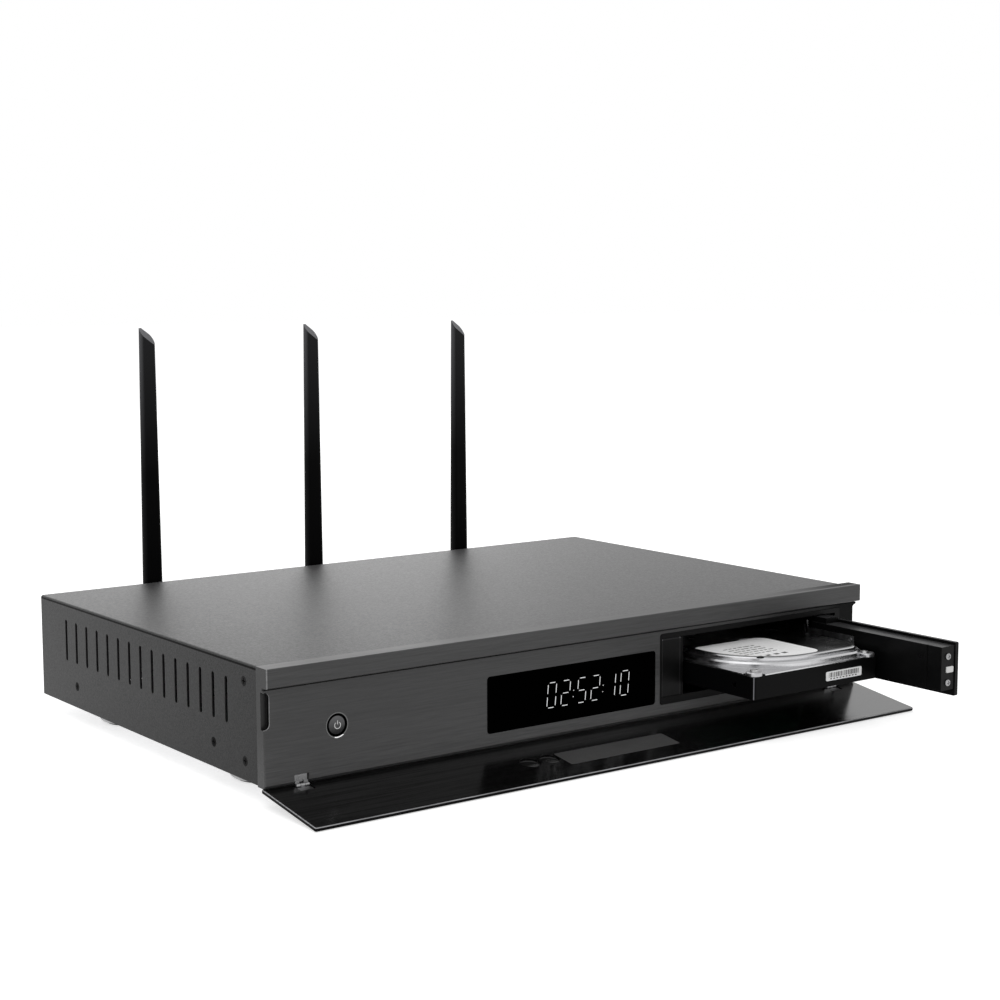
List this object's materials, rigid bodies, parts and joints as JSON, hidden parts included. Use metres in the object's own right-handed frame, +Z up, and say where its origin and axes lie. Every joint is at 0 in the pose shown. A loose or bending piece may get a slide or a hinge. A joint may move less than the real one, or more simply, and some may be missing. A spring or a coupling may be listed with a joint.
{
  "type": "media player with drive rack",
  "caption": "Hi-fi width media player with a drop-down flap, an open side-hung rack door, a hard drive part way out and upright rear aerials.",
  "frame": {"origin": "bottom centre of the bounding box as stored, on the surface that the feet stand on", "axes": "+X along the front to the right as seen from in front, +Y from the front to the back, +Z up"},
  "size_m": [0.43, 0.4072, 0.235],
  "materials": {
    "cover_paint": "fine powder coat, dark grey",
    "panel_metal": "dark anodised, brushed along its length",
    "black_plastic": "fine moulded texture",
    "gloss_black": "polished",
    "display_glass": "dark tinted, polished",
    "bare_steel": "zinc plated sheet",
    "bright_metal": "polished",
    "foot_metal": "satin turned",
    "rubber": "matt",
    "circuit_board": "solder resist, green",
    "drive_paint": "matt black paint on a casting",
    "drive_lid_metal": "satin pressed lid",
    "label_stock": "printed sticker, no words",
    "white_plastic": "smooth",
    "plated_brass": "gold plated",
    "sink_metal": "extruded"
  },
  "bodies": {
    "chassis": {"top_cover": "cover_paint", "case_screws": "bare_steel", "base_pan": "bare_steel", "foot_rings": "foot_metal", "foot_pads": "rubber", "front_panel": "panel_metal", "display_window": "display_glass", "display_tube": "gloss_black", "display_board": "circuit_board", "display_ribbon": "white_plastic", "button_ring": "bright_metal", "button_board": "circuit_board", "panel_hinge_leaves": "bare_steel", "flap_hinge_pins": "bare_steel", "rack_bezel": "black_plastic", "rack_door_pin": "bare_steel", "rack_cage": "bare_steel", "rack_rails": "black_plastic", "rack_backplane": "circuit_board", "rack_plug": "black_plastic", "main_board": "circuit_board", "heat_sink": "sink_metal", "power_board": "circuit_board", "transformer": "gloss_black", "capacitors": "gloss_black", "board_fixings": "bare_steel", "rear_panel": "cover_paint", "data_sockets": "bright_metal", "optical_socket": "black_plastic", "audio_jacks": "plated_brass", "mains_inlet": "black_plastic", "inlet_blades": "bright_metal", "rocker_frame": "black_plastic", "aerial_jacks": "plated_brass"},
    "flap": {"flap_panel": "panel_metal", "flap_window": "display_glass", "flap_lenses": "gloss_black", "flap_hinge_leaves": "bare_steel"},
    "rack_door": {"rack_door_face": "black_plastic", "rack_door_box": "black_plastic", "rack_door_screws": "bare_steel", "rack_door_strap": "bare_steel"},
    "door_latch": {"rack_door_latch": "white_plastic"},
    "release_key": {"release_key": "black_plastic"},
    "drive": {"drive_casting": "drive_paint", "drive_lid": "drive_lid_metal", "drive_board": "circuit_board", "drive_socket": "black_plastic", "drive_labels": "label_stock", "drive_screws": "bare_steel"},
    "power_button": {"power_button": "panel_metal"},
    "rocker": {"rocker_switch": "black_plastic"},
    "aerial_1_base": {"aerial_1_base": "black_plastic"},
    "aerial_1_blade": {"aerial_1_blade": "black_plastic"},
    "aerial_2_base": {"aerial_2_base": "black_plastic"},
    "aerial_2_blade": {"aerial_2_blade": "black_plastic"},
    "aerial_3_base": {"aerial_3_base": "black_plastic"},
    "aerial_3_blade": {"aerial_3_blade": "black_plastic"}
  },
  "joints": [
    {"name": "flap_hinge", "type": "hinge", "parent": "chassis", "child": "flap", "pos_m": [0, -0.10035, 0.0098], "axis": [-1, 0, 0], "range_deg": [0, 22]},
    {"name": "rack_door_hinge", "type": "hinge", "parent": "chassis", "child": "rack_door", "pos_m": [0.1827, -0.08945, 0.0388], "axis": [0, 0, 1], "range_deg": [-3.5, 14]},
    {"name": "door_latch_slide", "type": "slide", "parent": "rack_door", "child": "door_latch", "axis": [0, 1, 0], "range_m": [0, 0.0015], "stiffness_N_per_m": 200},
    {"name": "release_key_slide", "type": "slide", "parent": "chassis", "child": "release_key", "axis": [0, 1, 0], "range_m": [0, 0.0015], "stiffness_N_per_m": 400},
    {"name": "drive_slide", "type": "slide", "parent": "chassis", "child": "drive", "axis": [0, 1, 0], "range_m": [0, 0.0736]},
    {"name": "power_button_slide", "type": "slide", "parent": "chassis", "child": "power_button", "axis": [0, 1, 0], "range_m": [0, 0.001], "stiffness_N_per_m": 400},
    {"name": "rocker_hinge", "type": "hinge", "parent": "chassis", "child": "rocker", "pos_m": [-0.15, 0.17845, 0.038], "axis": [1, 0, 0], "range_deg": [0, 16]},
    {"name": "aerial_1_swivel", "type": "hinge", "parent": "chassis", "child": "aerial_1_base", "pos_m": [-0.1275, 0.18625, 0.052], "axis": [0, 1, 0], "range_deg": [-90, 35]},
    {"name": "aerial_1_tilt", "type": "hinge", "parent": "aerial_1_base", "child": "aerial_1_blade", "pos_m": [-0.1275, 0.19925, 0.052], "axis": [-1, 0, 0], "range_deg": [0, 90]},
    {"name": "aerial_2_swivel", "type": "hinge", "parent": "chassis", "child": "aerial_2_base", "pos_m": [-0.005, 0.18625, 0.052], "axis": [0, 1, 0], "range_deg": [-35, 35]},
    {"name": "aerial_2_tilt", "type": "hinge", "parent": "aerial_2_base", "child": "aerial_2_blade", "pos_m": [-0.005, 0.19925, 0.052], "axis": [-1, 0, 0], "range_deg": [0, 90]},
    {"name": "aerial_3_swivel", "type": "hinge", "parent": "chassis", "child": "aerial_3_base", "pos_m": [0.1175, 0.18625, 0.052], "axis": [0, 1, 0], "range_deg": [-35, 90]},
    {"name": "aerial_3_tilt", "type": "hinge", "parent": "aerial_3_base", "child": "aerial_3_blade", "pos_m": [0.1175, 0.19925, 0.052], "axis": [-1, 0, 0], "range_deg": [0, 90]}
  ]
}
